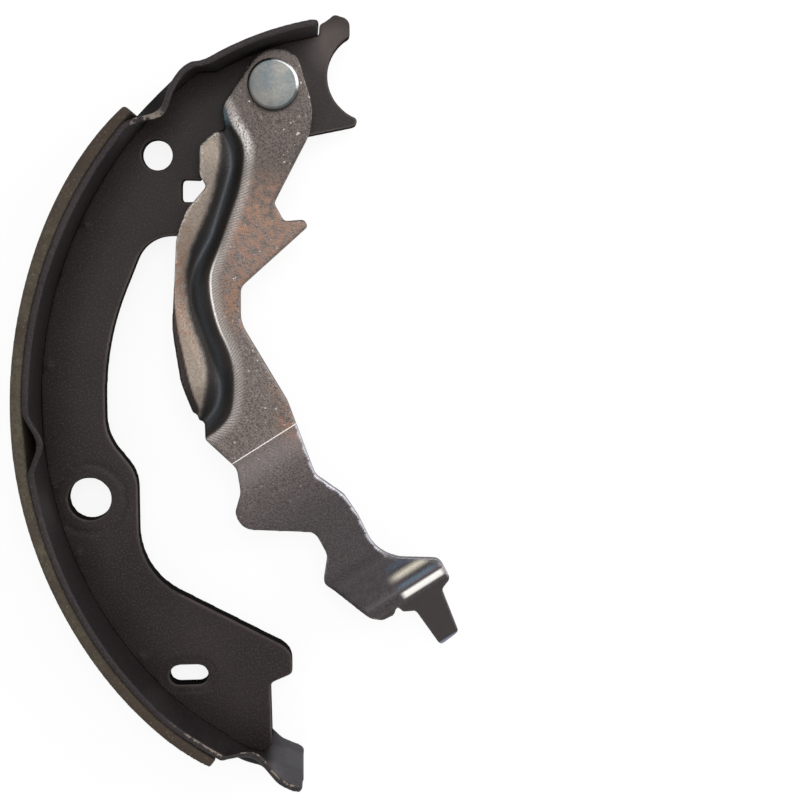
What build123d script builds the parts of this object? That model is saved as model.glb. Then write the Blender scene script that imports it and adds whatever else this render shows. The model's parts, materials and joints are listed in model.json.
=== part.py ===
"""Left shoe of a drum-in-hat parking brake, with its operating lever.

The drum axis is the Z axis and the web's mid plane is Z = 0. The shoe lies to the -X side of the
axis, with its anchor end up (+Y), its adjuster end down (-Y) and its lever on the +Z side.
All lengths are in millimetres and all angles in degrees, counter-clockwise from +X.
"""
from build123d import *
import os
from math import cos, radians, sin

os.makedirs("parts", exist_ok=True)

# Friction lining
drum_radius = 105.0
lining_thickness = 2.8
lining_side_margin = 0.3
lining_edge_break = 0.4
lining_top_angle = 138.1
lining_bottom_angle = 233.85

# Table: the rolled strip that carries the lining
table_thickness = 1.5
table_width = 25.0
crimp_reach = 10.2
rear_crimp_reach = 4.5
table_corner = 1.8
nick_width = 0.7
nick_depth = 0.5
nick_angles = (158.0, 162.9, 193.2, 198.8)

# Web: the flat blank that carries the table
web_thickness = 4.5
web_setback = 15.0
web_edge_break = 0.3
pivot_depth = 12.9
anchor_notch_depth = 19.3
spring_hole_depth = 6.9
hold_down_depth = 8.2
slot_depth = 6.7
anchor_notch_radius = 10.3
hold_down_radius = 5.1
spring_hole_radius = 3.55
slot_length = 9.4
slot_width = 4.9
coin_depth = 0.2
coin_inner_margin = 2.4
coin_outer_margin = 4.2
slot_coin_margin = 2.3
weld_nib_radius = 1.3
weld_nib_height = 0.5
weld_nib_inset = 1.45
weld_angles = (154.0, 174.0, 200.5, 218.0)

# Operating lever: a pressed sheet with a channel along its outer side
lever_sheet = 3.0
channel_depth = 2.2
channel_floor = 1.7
channel_wall_run = 3.0
flange_tilt = 18.0
flange_width = 6.2
fold_radius = 1.9
channel_land = 2.0
land_overlap = 1.0
under_channel_gap = 0.3
lever_drop_angle = 6.0
lever_drop_length = 40.0
curl_rise = 4.4
curl_run = 9.0
tongue_drop_angle = 20.0
tongue_length = 20.0

# Pivot
pin_radius = 4.0
running_clearance = 0.05
end_float = 0.1
pin_head_radius = 5.9
pin_head_height = 2.2
pin_head_round = 0.6
pin_end_break = 0.5
spacer_radius = 7.4
ring_radius = 6.6
ring_thickness = 1.0
ring_groove_depth = 1.0
ring_mouth = 4.8
pin_tail = 1.2

# Levels and radii that follow from the sizes above
web_front = web_thickness / 2
web_rear = -web_front
table_front = web_front + web_setback
table_rear = table_front - table_width
crimp_start = table_front - crimp_reach
rear_crimp_end = table_rear + rear_crimp_reach
table_radius = drum_radius - lining_thickness
web_radius = table_radius - table_thickness
lever_bottom = web_front + under_channel_gap + channel_depth
lever_top = lever_bottom + lever_sheet
lever_middle = lever_bottom + lever_sheet / 2
outside = 20.0
lever_reach = 2 * web_radius


def polar(radius, angle):
    """Point at a radius and angle about the drum axis."""
    return (radius * cos(radians(angle)), radius * sin(radians(angle)))


def at(angle, depth):
    """Point of the web at an angle, a depth inside the table."""
    return polar(web_radius - depth, angle)


# Places on the web
pivot_place = at(120.7, pivot_depth)
anchor_notch_place = at(105.65, anchor_notch_depth)
spring_hole_place = at(140.35, spring_hole_depth)
hold_down_place = at(193.6, hold_down_depth)
slot_place = at(224.5, slot_depth)
strut_hook_place = at(145.3, 28.2)


# Table: the strip follows the drum, is crimped inwards at its front edge in four places, steps
# inwards and runs flatter at the top, and turns into a flat tab at the bottom, past a crimp at both
# of its edges. Each stretch is a run of (angle, depth at the rear edge, depth between the crimps,
# depth at the front edge) under the rolled surface.
REAR, MIDDLE, FRONT = 1, 2, 3
lining_tail = ((224.0, 0, 0, 0), (227.5, 0.2, 0.2, 0.3), (231.0, 0.5, 0.5, 0.8),
               (lining_bottom_angle, 0.85, 0.85, 1.25))
table_stretches = (
    ((111.3, 6.7, 6.7, 6.7), (118.8, 4.4, 4.4, 4.4), (126.3, 2.5, 2.5, 2.65)),
    ((126.3, 2.5, 2.5, 2.65), (127.3, 1.25, 1.25, 2.2), (128.3, 0, 0, 1.2)),
    ((128.3, 0, 0, 1.2), (131.2, 0, 0, 1.3), (133.2, 0, 0, 2.7), (135.5, 0, 0, 4.3), (138.0, 0, 0, 2.0),
     (140.2, 0, 0, 0)),
    ((140.2, 0, 0, 0), (160.0, 0, 0, 0), (179.4, 0, 0, 0)),
    ((179.4, 0, 0, 0), (181.6, 0, 0, 1.8), (183.6, 0, 0, 3.1), (185.4, 0, 0, 2.0), (187.4, 0, 0, 0)),
    ((187.4, 0, 0, 0), (206.0, 0, 0, 0), (224.0, 0, 0, 0)),
    lining_tail,
    (lining_tail[-1], (234.2, 0.83, 0.83, 1.3), (234.6, 0.8, 0.8, 1.4)),
    ((234.6, 0.8, 0.8, 1.4), (235.9, 3.4, 0.65, 4.0), (238.0, 5.9, 0.75, 6.1), (240.3, 5.3, 1.75, 5.1),
     (241.9, 4.3, 2.75, 3.8), (243.4, 4.05, 3.5, 2.95)),
    ((243.4, 4.05, 3.5, 2.95), (244.9, 4.1, 3.6, 2.9), (246.3, 4.2, 3.7, 3.1)),
)
top_end_point = table_stretches[0][0]
tab_end_point = table_stretches[-1][-1]
top_gap = 0.6


def skin(angle, depth, below=0):
    """Point of the table at a depth under its rolled surface, on the skin `below` its outer one."""
    return polar(table_radius - depth - below, angle)


def stretch_line(stretch, below, edge):
    """One skin of a stretch: an arc, or a curve where the strip leaves the drum's circle."""
    points = [skin(point[0], point[edge], below) for point in stretch]
    if len(points) == 3 or not any(point[edge] for point in stretch):
        ThreePointArc(points[0], points[len(points) // 2], points[-1])
    else:
        Spline(*points)


def stretch_section(stretch, level, edge):
    """Section of a stretch of the strip at a level."""
    with BuildSketch(Plane.XY.offset(level)) as section:
        with BuildLine():
            for below in (0, table_thickness):
                stretch_line(stretch, below, edge)
            for point in (stretch[0], stretch[-1]):
                Line(skin(point[0], point[edge]), skin(point[0], point[edge], table_thickness))
        make_face()
    return section.sketch


with BuildPart() as table:
    for stretch in table_stretches:
        extrude(stretch_section(stretch, rear_crimp_end, MIDDLE), amount=crimp_start - rear_crimp_end)
        for start, end, edge in ((rear_crimp_end, table_rear, REAR), (crimp_start, table_front, FRONT)):
            crimped = [stretch_section(stretch, start, MIDDLE), stretch_section(stretch, end, edge)]
            loft(crimped, ruled=True)
    for side_face in (table.faces().sort_by(Axis.Z)[0], table.faces().sort_by(Axis.Z)[-1]):
        fillet(side_face.edges().filter_by(GeomType.LINE), table_corner)
    with Locations([Location((*skin(angle, 0), table_front), (0, 0, angle)) for angle in nick_angles]):
        Box(4 * table_thickness, nick_width, 2 * nick_depth, mode=Mode.SUBTRACT)

# Lining: a moulded segment bonded to the table. Its surface follows the drum and is relieved towards
# both ends, as (angle, depth under the drum's radius).
lining_relief = (
    (lining_top_angle, 0.65),
    (140.0, 0.3),
    (142.5, 0),
    (165.0, 0),
    (188.0, 0),
    (210.0, 0),
    (224.0, 0),
    (229.0, 0.3),
    (lining_bottom_angle, 1.2),
)
with BuildPart() as lining:
    with BuildSketch(Plane.XY.offset(table_rear + lining_side_margin)):
        with BuildLine():
            rubbing_curve = Spline(*[polar(drum_radius - relief, angle) for angle, relief in lining_relief])
            tail_angle = lining_tail[0][0]
            middle = (lining_top_angle + tail_angle) / 2
            ThreePointArc(*[skin(angle, 0) for angle in (lining_top_angle, middle, tail_angle)])
            stretch_line(lining_tail, 0, MIDDLE)
            Line(rubbing_curve @ 0, skin(lining_top_angle, 0))
            Line(rubbing_curve @ 1, skin(lining_bottom_angle, lining_tail[-1][MIDDLE]))
        make_face()
    extrude(amount=table_width - 2 * lining_side_margin)
    outer_face = lining.faces().sort_by(SortBy.AREA)[-1]
    chamfer(outer_face.edges(), lining_edge_break)

# Web: (angle, depth, corner radius) of each corner of the blank, from its adjuster end, up its inner
# edge and round its anchor end. The last corners lie outside the table, which trims the blank.
web_corners = (
    (235.1, -4.2, 0),
    (241.5, 2.8, 3.0),
    (235.5, 17.6, 1.2),
    (237.8, 22.4, 1.2),
    (235.2, 27.6, 5.0),
    (207.1, 12.6, 18.0),
    (191.4, 20.8, 10.5),
    (184.3, 14.8, 12.5),
    (169.6, 13.7, 68.0),
    (151.5, 15.2, 8.5),
    (145.3, 28.2, 1.2),
    (141.6, 25.2, 1.2),
    (143.0, 21.9, 0.6),
    (142.1, 20.9, 0.6),
    (143.7, 18.0, 0.6),
    (140.9, 14.9, 0.6),
    (138.95, 18.5, 0.6),
    (136.9, 16.6, 1.0),
    (132.6, 21.7, 3.0),
    (122.4, 25.2, 40.0),
    (110.8, 29.2, 1.2),
    (109.9, 26.7, 0.8),
    (111.1, 25.9, 0),
    (106.4, 5.3, 2.0),
    (108.3, 3.2, 0.8),
    (109.4, 4.0, 1.0),
    (110.9, 4.4, 0.5),
    (115.0, -outside, 0),
    (150.0, -outside, 0),
    (180.0, -2 * outside, 0),
    (215.0, -outside, 0),
)

with BuildSketch() as inside_table:
    with BuildLine():
        for stretch in table_stretches:
            stretch_line(stretch, table_thickness, MIDDLE)
        top_end = skin(top_end_point[0], top_end_point[MIDDLE], table_thickness)
        tab_end = skin(tab_end_point[0], tab_end_point[MIDDLE], table_thickness)
        Polyline(tab_end, (0, tab_end[1]), (0, drum_radius), (top_end[0] + top_gap, drum_radius), top_end)
    make_face()

with BuildSketch() as web_blank:
    with BuildLine():
        FilletPolyline(*[at(angle, depth) for angle, depth, _ in web_corners],
                       radius=[corner for _, _, corner in web_corners], close=True)
    make_face()
    add(inside_table.sketch, mode=Mode.INTERSECT)
    with Locations(anchor_notch_place):
        Circle(anchor_notch_radius, mode=Mode.SUBTRACT)
    with Locations(pivot_place):
        Circle(pin_radius + running_clearance, mode=Mode.SUBTRACT)
    with Locations(spring_hole_place):
        Circle(spring_hole_radius, mode=Mode.SUBTRACT)
    with Locations(hold_down_place):
        Circle(hold_down_radius, mode=Mode.SUBTRACT)
    with Locations(slot_place):
        SlotOverall(slot_length, slot_width, mode=Mode.SUBTRACT)

with BuildPart() as web:
    extrude(web_blank.sketch, amount=web_front, both=True)
    front_edges = web.faces().sort_by(Axis.Z)[-1].outer_wire().edges()
    inner_edges = front_edges.filter_by(GeomType.BSPLINE, reverse=True)
    inner_edges = inner_edges.filter_by(lambda edge: edge.center().length < web_radius - coin_outer_margin)
    chamfer(inner_edges.filter_by_position(Axis.Y, -web_radius, strut_hook_place[1]), web_edge_break)
    with BuildSketch(Plane.XY.offset(web_front)):
        with Locations(hold_down_place):
            Circle(hold_down_radius + coin_outer_margin)
            Circle(hold_down_radius + coin_inner_margin, mode=Mode.SUBTRACT)
        with Locations(slot_place):
            SlotOverall(slot_length + 2 * slot_coin_margin, slot_width + 2 * slot_coin_margin)
    extrude(amount=-coin_depth, mode=Mode.SUBTRACT)
    nib_centre = web_front + weld_nib_height - weld_nib_radius
    with Locations([(*at(angle, weld_nib_inset), nib_centre) for angle in weld_angles]):
        Sphere(weld_nib_radius)

# Lever: (x, y, corner radius) from the pivot, clockwise round the head, down the inner edge to the
# tongue and back up the outer edge and the flange.
lever_corners = (
    (-10.9, -3.3, 0.8),
    (-2.8, 8.4, 7.0),
    (5.2, 8.4, 5.0),
    (10.0, -7.8, 14.0),
    (-0.1, -26.9, 0.8),
    (2.2, -31.1, 0.8),
    (6.8, -30.7, 0.8),
    (7.8, -32.3, 0.6),
    (-8.1, -46.5, 2.5),
    (-8.2, -54.8, 8.0),
    (2.6, -73.3, 10.0),
    (9.1, -91.4, 3.0),
    (16.0, -96.5, 4.0),
    (19.5, -101.9, 8.0),
    (24.6, -112.6, 9.5),
    (39.2, -112.3, 2.5),
    (41.7, -117.3, 1.2),
    (39.7, -119.9, 1.2),
    (44.4, -132.0, 0.9),
    (39.9, -135.6, 1.0),
    (33.3, -125.4, 0.8),
    (30.2, -125.5, 1.0),
    (28.6, -123.8, 0.4),
    (27.9, -126.2, 1.0),
    (25.0, -127.4, 1.5),
    (22.4, -126.8, 1.5),
    (10.8, -118.7, 2.0),
    (11.9, -111.6, 4.0),
    (8.9, -105.7, 3.0),
    (-8.9, -104.5, 4.5),
    (-10.2, -100.2, 2.0),
    (-8.8, -95.5, 4.0),
    (-9.6, -89.4, 4.0),
    (-16.9, -82.4, 0.5),
    (-17.2, -78.5, 0.5),
    (-18.4, -78.0, 0.6),
    (-18.9, -76.3, 0.4),
    (-19.7, -76.0, 0.5),
    (-22.3, -68.5, 10.0),
    (-24.2, -56.0, 30.0),
    (-22.8, -35.0, 12.0),
    (-20.3, -28.6, 6.0),
    (-15.7, -23.2, 0.8),
    (-17.2, -20.5, 2.0),
    (-17.1, -14.0, 1.5),
    (-13.9, -10.7, 1.2),
    (-11.4, -9.9, 0.4),
    (-12.0, -5.0, 1.0),
)
# Edge of the channel, from above the head to below the flange, as corners with radii
channel_corners = (
    (-13.0, 0.8),
    (-5.1, -16.2),
    (-11.3, -36.0),
    (-17.1, -46.5),
    (-6.5, -76.6),
    (-25.6, -87.5),
)
channel_radii = (15.0, 12.0, 12.0, 13.5)
# Fold line across the lever, and the direction down the lever from it
fold_place = (-3.1, -83.5)
fold_direction = -58.0


def from_pivot(x, y):
    """Point of the lever, given from the pivot."""
    return (pivot_place[0] + x, pivot_place[1] + y)


with BuildLine() as channel_edge:
    FilletPolyline(*[from_pivot(x, y) for x, y in channel_corners], radius=channel_radii)

# The sheet seen along the fold: flat, then dropping away, curling up to a crest, and the tongue
drop = radians(lever_drop_angle)
dive = radians(tongue_drop_angle)
curl_start = (lever_drop_length * cos(drop), -lever_drop_length * sin(drop))
crest = (curl_start[0] + curl_run, curl_start[1] + curl_rise)
tongue_end = (crest[0] + tongue_length * cos(dive), crest[1] - tongue_length * sin(dive))
fold_plane = Plane(
    origin=(*from_pivot(*fold_place), lever_middle),
    x_dir=(cos(radians(fold_direction)), sin(radians(fold_direction)), 0),
    z_dir=(sin(radians(fold_direction)), -cos(radians(fold_direction)), 0),
)
with BuildSketch(fold_plane) as lever_side:
    with BuildLine() as lever_fold:
        FilletPolyline((-lever_reach, 0), (0, 0), curl_start, crest, tongue_end,
                       radius=(2 * fold_radius, 4 * fold_radius, fold_radius))
    trace(lever_fold.line, line_width=lever_sheet)


with BuildSketch() as lever_outline:
    with BuildLine():
        FilletPolyline(*[from_pivot(x, y) for x, y, _ in lever_corners],
                       radius=[corner for _, _, corner in lever_corners], close=True)
    make_face()

# Everything outside the channel's edge, which the channel and its flange fill
with BuildSketch() as channel_side:
    with BuildLine():
        add(channel_edge.line)
        Polyline(channel_edge.line @ 1, from_pivot(-lever_reach, -lever_reach),
                 from_pivot(-lever_reach, 0), channel_edge.line @ 0)
    make_face()
    offset(amount=channel_land)

with BuildSketch() as plate_outline:
    add(lever_outline.sketch)
    add(channel_side.sketch, mode=Mode.SUBTRACT)

channel_start = channel_edge.line @ 0
channel_heading = channel_edge.line % 0
channel_plane = Plane(
    origin=(channel_start.X, channel_start.Y, lever_middle),
    x_dir=(channel_heading.Y, -channel_heading.X, 0),
    z_dir=(-channel_heading.X, -channel_heading.Y, 0),
)
tilt = radians(flange_tilt)
wall_foot = channel_wall_run + channel_floor
flange_root = wall_foot + channel_wall_run
with BuildSketch(channel_plane) as channel_section:
    with BuildLine() as channel_fold:
        FilletPolyline((-channel_land - land_overlap, 0), (0, 0), (channel_wall_run, -channel_depth),
                       (wall_foot, -channel_depth), (flange_root, 0),
                       (flange_root + flange_width * cos(tilt), flange_width * sin(tilt)),
                       radius=fold_radius)
    trace(channel_fold.line, line_width=lever_sheet)

with BuildPart() as channel:
    sweep(channel_section.sketch, path=channel_edge.line)
    extrude(lever_outline.sketch, amount=2 * lever_top, mode=Mode.INTERSECT)

with BuildPart() as lever:
    extrude(lever_side.sketch, amount=lever_reach, both=True)
    with BuildSketch(Plane.XY.offset(table_rear)):
        add(plate_outline.sketch)
    extrude(amount=2 * table_width, mode=Mode.INTERSECT)
    add(channel.part)
    with Locations((*pivot_place, lever_middle)):
        Cylinder(pin_radius + running_clearance, 2 * lever_sheet, mode=Mode.SUBTRACT)

# Pivot pin: headed on the lever's side and grooved behind the web for its retaining ring
ring_front = web_rear - end_float
ring_rear = ring_front - ring_thickness
pin_seat = lever_top + end_float
groove_radius = pin_radius - ring_groove_depth
with BuildPart() as pivot_pin:
    with Locations((*pivot_place, pin_seat)):
        Cylinder(pin_head_radius, pin_head_height, align=(Align.CENTER, Align.CENTER, Align.MIN))
        Cylinder(pin_radius, pin_seat - ring_rear + pin_tail, align=(Align.CENTER, Align.CENTER, Align.MAX))
    fillet(pivot_pin.faces().sort_by(Axis.Z)[-1].edges(), pin_head_round)
    chamfer(pivot_pin.faces().sort_by(Axis.Z)[0].edges(), pin_end_break)
    with BuildSketch(Plane.XY.offset(ring_front)):
        with Locations(pivot_place):
            Circle(pin_radius + running_clearance)
            Circle(groove_radius, mode=Mode.SUBTRACT)
    extrude(amount=-ring_thickness, mode=Mode.SUBTRACT)

# Spacer: keeps the lever's channel clear of the web
with BuildPart() as spacer_washer:
    with BuildSketch(Plane.XY.offset(web_front)):
        with Locations(pivot_place):
            Circle(spacer_radius)
            Circle(pin_radius + running_clearance, mode=Mode.SUBTRACT)
    extrude(amount=lever_bottom - end_float - web_front)

# Retaining ring: snapped into the pin's groove from the side
with BuildPart() as retaining_ring:
    with BuildSketch(Plane.XY.offset(ring_front)):
        with Locations(pivot_place):
            Circle(ring_radius)
            Circle(groove_radius, mode=Mode.SUBTRACT)
            with Locations((ring_radius, 0)):
                Rectangle(2 * ring_radius, ring_mouth, mode=Mode.SUBTRACT)
    extrude(amount=-ring_thickness)

pieces = {
    "lining": lining,
    "table": table,
    "web": web,
    "lever": lever,
    "pivot_pin": pivot_pin,
    "spacer_washer": spacer_washer,
    "retaining_ring": retaining_ring,
}
for name, piece in pieces.items():
    piece.part.label = name
    export_step(piece.part, f"parts/{name}.step")
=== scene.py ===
# %% [markdown]
# # A parking brake shoe and its lever
# The shoe is a crescent of steel web with a rolled table round its back, a moulded lining bonded to
# that table, and a pressed, zinc plated lever that turns on a headed pin. Its solids come from the
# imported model. They are exact but sharp and faceted, while real pressings have rounded edges that
# catch the light, so here most of them are modelled again on top of the solids, and every piece gets
# its finish.

import json
from math import cos, pi, radians, sin

import bpy
import numpy as np
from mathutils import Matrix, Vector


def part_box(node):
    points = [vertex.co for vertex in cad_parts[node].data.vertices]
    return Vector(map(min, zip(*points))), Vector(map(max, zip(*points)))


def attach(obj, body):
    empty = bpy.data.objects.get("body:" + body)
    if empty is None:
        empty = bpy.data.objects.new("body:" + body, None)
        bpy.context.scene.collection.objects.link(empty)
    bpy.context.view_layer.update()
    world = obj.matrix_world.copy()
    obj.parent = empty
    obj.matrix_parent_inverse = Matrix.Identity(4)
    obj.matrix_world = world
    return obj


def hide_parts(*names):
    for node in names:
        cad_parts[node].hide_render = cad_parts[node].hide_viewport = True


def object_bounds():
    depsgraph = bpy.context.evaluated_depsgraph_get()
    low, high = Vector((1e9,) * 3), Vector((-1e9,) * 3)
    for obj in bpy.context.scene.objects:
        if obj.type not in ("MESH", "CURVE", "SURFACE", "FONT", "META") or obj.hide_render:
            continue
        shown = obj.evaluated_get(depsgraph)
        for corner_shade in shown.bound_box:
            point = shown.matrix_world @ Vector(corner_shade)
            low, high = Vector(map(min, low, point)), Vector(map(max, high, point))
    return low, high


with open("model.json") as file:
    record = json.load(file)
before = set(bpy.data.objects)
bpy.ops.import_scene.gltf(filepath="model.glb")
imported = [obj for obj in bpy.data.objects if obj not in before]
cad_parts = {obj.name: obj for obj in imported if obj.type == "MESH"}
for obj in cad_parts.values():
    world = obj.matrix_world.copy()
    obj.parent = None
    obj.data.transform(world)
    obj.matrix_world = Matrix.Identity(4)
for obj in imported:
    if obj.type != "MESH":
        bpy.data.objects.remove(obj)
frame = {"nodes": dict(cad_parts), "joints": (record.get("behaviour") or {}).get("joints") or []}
cad_low, cad_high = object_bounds()
nodes = frame["nodes"]
MM = 0.001
print("nodes:", sorted(nodes))

# %% [markdown]
# ## Camera
# The shoe is seen from about 300 mm in front, with the lens over the lever's outer edge, so the
# table's walls show in perspective on both sides. It comes before the pieces, because each of them
# is judged from here.

# %% Camera
camera_data = bpy.data.cameras.new("camera")
camera_data.lens = 58.5
camera_data.sensor_width = 36.0
camera_data.clip_start = 0.01
camera = bpy.data.objects.new("camera", camera_data)
camera.location = (-38.3 * MM, 36.3 * MM, 314.6 * MM)
camera.rotation_euler = (radians(-6.32), radians(-4.24), 0.0)
bpy.context.scene.collection.objects.link(camera)
bpy.context.scene.camera = camera
print("camera at", [round(v, 4) for v in camera.location])

# %% [markdown]
# ## Helpers for modelling
# Operators act on whatever is selected, and loading leaves the solids selected. So each step first
# picks its one piece. A piece can start as a copy of its solid: its loose triangles are merged, and
# the Remesh modifier then lays an even skin of small quads over it, which the Smooth modifier can
# round at every edge, as blanking, rolling and tumbling do.

# %% Pick a piece, and make a softened copy of a solid
SAME_CORNER = 0.001 * MM  # corners of the solid's triangles that lie closer than this are one


def pick(piece):
    """Makes piece the only selected and the active object."""
    bpy.ops.object.select_all(action="DESELECT")
    piece.select_set(True)
    bpy.context.view_layer.objects.active = piece


def softened_copy(node, name, skin, rounds):
    """A copy of a solid under an even skin of quads `skin` wide, its edges rounded by `rounds` passes."""
    piece = nodes[node].copy()
    piece.data = nodes[node].data.copy()
    piece.name = name
    piece.parent = None
    for key in [key for key in piece.keys() if key.startswith("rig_")]:
        del piece[key]
    bpy.context.scene.collection.objects.link(piece)
    pick(piece)
    bpy.ops.object.mode_set(mode="EDIT")
    bpy.ops.mesh.select_all(action="SELECT")
    bpy.ops.mesh.remove_doubles(threshold=SAME_CORNER)
    bpy.ops.object.mode_set(mode="OBJECT")
    bpy.ops.object.modifier_add(type="REMESH")
    remesh = piece.modifiers[-1]
    remesh.mode = "VOXEL"
    remesh.voxel_size = skin
    bpy.ops.object.modifier_apply(modifier=remesh.name)
    bpy.ops.object.modifier_add(type="SMOOTH")
    smooth = piece.modifiers[-1]
    smooth.factor = 0.5
    smooth.iterations = rounds
    bpy.ops.object.modifier_apply(modifier=smooth.name)
    bpy.ops.object.shade_smooth()
    print(name, len(piece.data.polygons), "faces")
    return piece


# %% [markdown]
# A finish is seldom even: edges are rubbed, corners stay dull. Painting that by hand would not
# follow a change of shape, so each vertex gets numbers that are worked out from its place and its
# normal, and the materials read them through Attribute nodes. Some are distances in millimetres.
# The others are masks, which rise from 0 to 1 over a soft band, so that no finish ends in a hard line.

# %% Numbers on a piece's vertices
def points_and_normals(piece):
    """A piece's vertex places in millimetres and its vertex normals, as arrays."""
    mesh = piece.data
    places = np.empty(len(mesh.vertices) * 3, np.float32)
    mesh.vertices.foreach_get("co", places)
    normals = np.empty(len(mesh.vertices) * 3, np.float32)
    mesh.vertex_normals.foreach_get("vector", normals)
    return places.reshape(-1, 3) / MM, normals.reshape(-1, 3)


def step(low, high, values):
    """0 below low, 1 above high and a smooth rise between."""
    share = np.clip((values - low) / (high - low), 0, 1)
    return share * share * (3 - 2 * share)


def band(rise, fall, values):
    """1 between a rise and a fall, each given as the two values that it runs between."""
    return step(*rise, values) * (1 - step(*fall, values))


def store(piece, name, values):
    """Keeps one number per vertex on the piece, for its material to read."""
    attribute = piece.data.attributes.new(name, "FLOAT", "POINT")
    attribute.data.foreach_set("value", np.asarray(values, np.float32))
    print(piece.name, name, "from", round(float(values.min()), 2), "to", round(float(values.max()), 2))


def finish_piece(piece, body, material, node):
    """Gives a finished piece its body and its material, and hides the solid that it stands for."""
    piece.data.materials.clear()
    piece.data.materials.append(material)
    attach(piece, body)
    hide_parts(node)


# %% [markdown]
# ## Helpers for materials
# Colours are picked as sRGB hex values, but shaders work in linear light, so one function turns
# them. Another adds a node with its settings and its links, which keeps each finish short, and a
# third starts a material with its main shader.

# %% Colours and nodes
def hex_colour(code):
    """Linear RGBA of an sRGB hex colour."""
    channels = [int(code[i : i + 2], 16) / 255 for i in (1, 3, 5)]
    return tuple(c / 12.92 if c <= 0.04045 else ((c + 0.055) / 1.055) ** 2.4 for c in channels) + (1.0,)


def add_node(owner, kind, inputs=None, **settings):
    """Adds a node to a material or world, applies its settings, and sets or links each of its inputs."""
    node = owner.node_tree.nodes.new(kind)
    for name, value in settings.items():
        setattr(node, name, value)
    for socket, value in (inputs or {}).items():
        if isinstance(value, bpy.types.NodeSocket):
            owner.node_tree.links.new(value, node.inputs[socket])
        else:
            node.inputs[socket].default_value = value
    return node


def new_material(name, **sockets):
    """A material with its main shader, whose plain sockets are set, and the piece's own coordinates."""
    material = bpy.data.materials.new(name)
    material.use_nodes = True
    material.node_tree.nodes.clear()
    shader = add_node(material, "ShaderNodeBsdfPrincipled")
    for socket, value in sockets.items():
        shader.inputs[socket.replace("_", " ")].default_value = value
    add_node(material, "ShaderNodeOutputMaterial", {"Surface": shader.outputs[0]})
    place = add_node(material, "ShaderNodeTexCoord").outputs["Object"]
    return material, shader, place


# %% [markdown]
# Most of the finishes here are a base with other colours laid over it where a mask says so, as wear,
# dirt and rust lie on a real surface. Two functions build that: a mottle is a mask of grains of a
# real size, and lay_colours puts the colours on in turn.

# %% Mottles, and colours in layers
# A Mix node has sockets for every kind of value. These are the ones for colours, and for numbers
FACTOR, FIRST, SECOND, MIXED = 0, 6, 7, 2
FIRST_NUMBER, SECOND_NUMBER = 2, 3


def mottle(material, grain, low, high):
    """Turns a grain into a mask: 0 where its noise is under low, 1 over high."""
    inputs = {"Value": grain.outputs["Fac"], "From Min": low, "From Max": high}
    return add_node(material, "ShaderNodeMapRange", inputs).outputs[0]


def lay_colours(material, base, *layers):
    """Lays colours over a base, each as strongly as the product of its masks and shares says."""
    colour = base
    for code, mask, *others in layers:
        for other in others:
            inputs = {0: mask, 1: other}
            mask = add_node(material, "ShaderNodeMath", inputs, operation="MULTIPLY").outputs[0]
        inputs = {FACTOR: mask, FIRST: colour, SECOND: hex_colour(code)}
        colour = add_node(material, "ShaderNodeMix", inputs, data_type="RGBA").outputs[MIXED]
    return colour


# %% [markdown]
# ## Shoe steel: black-brown dip paint over blasted steel
# Web and table are blanked and rolled from hot rolled strip, grit blasted, welded together and
# dipped. The paint is thin, so it keeps the blasted grain and dries to a satin. The eye gets a very
# dark warm brown, a little cloudy, with paler specks where the grain's tops are rubbed, and paler
# edges, by the piece's `rub_and_highlight` number: partly where shoes knock against each other in
# their box, and partly a painted highlight where the surface turns into an edge. Its
# `shade_and_dullness` number gives painted shade on upright walls and in corners: there the colour
# is nearly black, and the paint is rough and without a sheen.

# %% Dip paint
GRIT = 0.45 * MM  # blasting grit, drawn about twice as coarse as it is so that it shows
CLOUD = 24 * MM
SATIN_SHEEN, DULL_SHEEN = 0.2, 0.02
DULL_ROUGHNESS = 0.95


def dip_paint(name, dark, pale, speck):
    """Thin satin paint over blasted steel. Gives its material, shader, coordinates and colour."""
    material, shader, place = new_material(name, IOR=1.5)
    rub_and_highlight = add_node(material, "ShaderNodeAttribute", attribute_name="rub_and_highlight").outputs["Fac"]
    shade_and_dullness = add_node(material, "ShaderNodeAttribute", attribute_name="shade_and_dullness").outputs["Fac"]
    clouds = add_node(material, "ShaderNodeTexNoise", {"Vector": place, "Scale": 1 / CLOUD, "Detail": 5.0})
    clouding = mottle(material, clouds, 0.35, 0.65)
    grain = add_node(
        material, "ShaderNodeTexNoise", {"Vector": place, "Scale": 1 / GRIT, "Detail": 3.0, "Roughness": 0.65}
    )
    colour = lay_colours(
        material,
        hex_colour(dark),
        (pale, clouding),
        (speck, mottle(material, grain, 0.5, 0.72)),
        # Paler edges: partly rubbed paint, partly a painted highlight
        ("#5d5450", rub_and_highlight, clouding),
        # Painted shade, nearly black, on upright walls and in corners
        ("#0e0b0b", shade_and_dullness),
    )
    satin = add_node(
        material,
        "ShaderNodeMapRange",
        {"Value": grain.outputs["Fac"], "From Min": 0.3, "From Max": 0.7, "To Min": 0.42, "To Max": 0.6},
    )
    roughness = add_node(
        material,
        "ShaderNodeMix",
        {FACTOR: shade_and_dullness, FIRST_NUMBER: satin.outputs[0], SECOND_NUMBER: DULL_ROUGHNESS},
        data_type="FLOAT",
    )
    sheen = add_node(
        material, "ShaderNodeMapRange", {"Value": shade_and_dullness, "To Min": SATIN_SHEEN, "To Max": DULL_SHEEN}
    )
    relief = add_node(
        material,
        "ShaderNodeBump",
        {"Height": grain.outputs["Fac"], "Strength": 0.35, "Distance": 0.12 * MM},
    )
    links = material.node_tree.links
    links.new(colour, shader.inputs["Base Color"])
    links.new(roughness.outputs[0], shader.inputs["Roughness"])
    links.new(sheen.outputs[0], shader.inputs["Specular IOR Level"])
    links.new(relief.outputs[0], shader.inputs["Normal"])
    return material, shader, place, colour


# %% [markdown]
# Web and table are dipped together, but the rolled strip dries a little greyer than the blank.

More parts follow.
